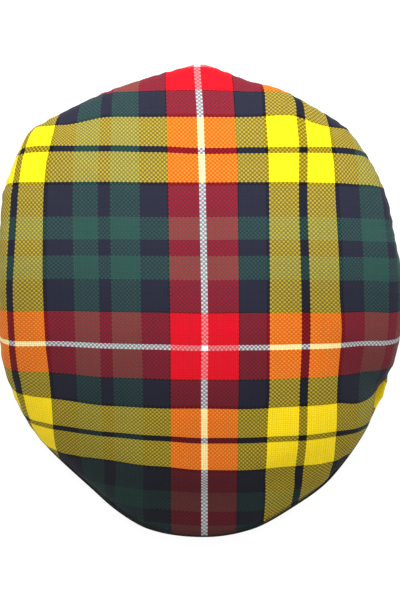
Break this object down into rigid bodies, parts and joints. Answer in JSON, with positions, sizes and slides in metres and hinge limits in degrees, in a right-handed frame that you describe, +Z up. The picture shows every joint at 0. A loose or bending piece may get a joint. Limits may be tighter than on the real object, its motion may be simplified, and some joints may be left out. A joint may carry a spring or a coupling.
{
  "type": "tartan flat cap",
  "caption": "Tartan flat cap with a one-piece top drawn down over a stiff curved peak and an open hollow for the head.",
  "frame": {"origin": "centre of the cap's box in plan, at the level of the rim that it rests on", "axes": "+Z up, +Y towards the back seam, the peak points towards -Y, +X towards the wearer's left"},
  "size_m": [0.237, 0.276, 0.084],
  "materials": {
    "crown_cloth": "brushed wool twill in a woven tartan of red, yellow, green and navy",
    "side_cloth": "the same brushed wool tartan",
    "peak_cloth": "the same brushed wool tartan over a stiff board"
  },
  "bodies": {
    "root": {"crown_panel": "crown_cloth", "side_panel_left": "side_cloth", "side_panel_right": "side_cloth", "peak": "peak_cloth"}
  },
  "joints": []
}
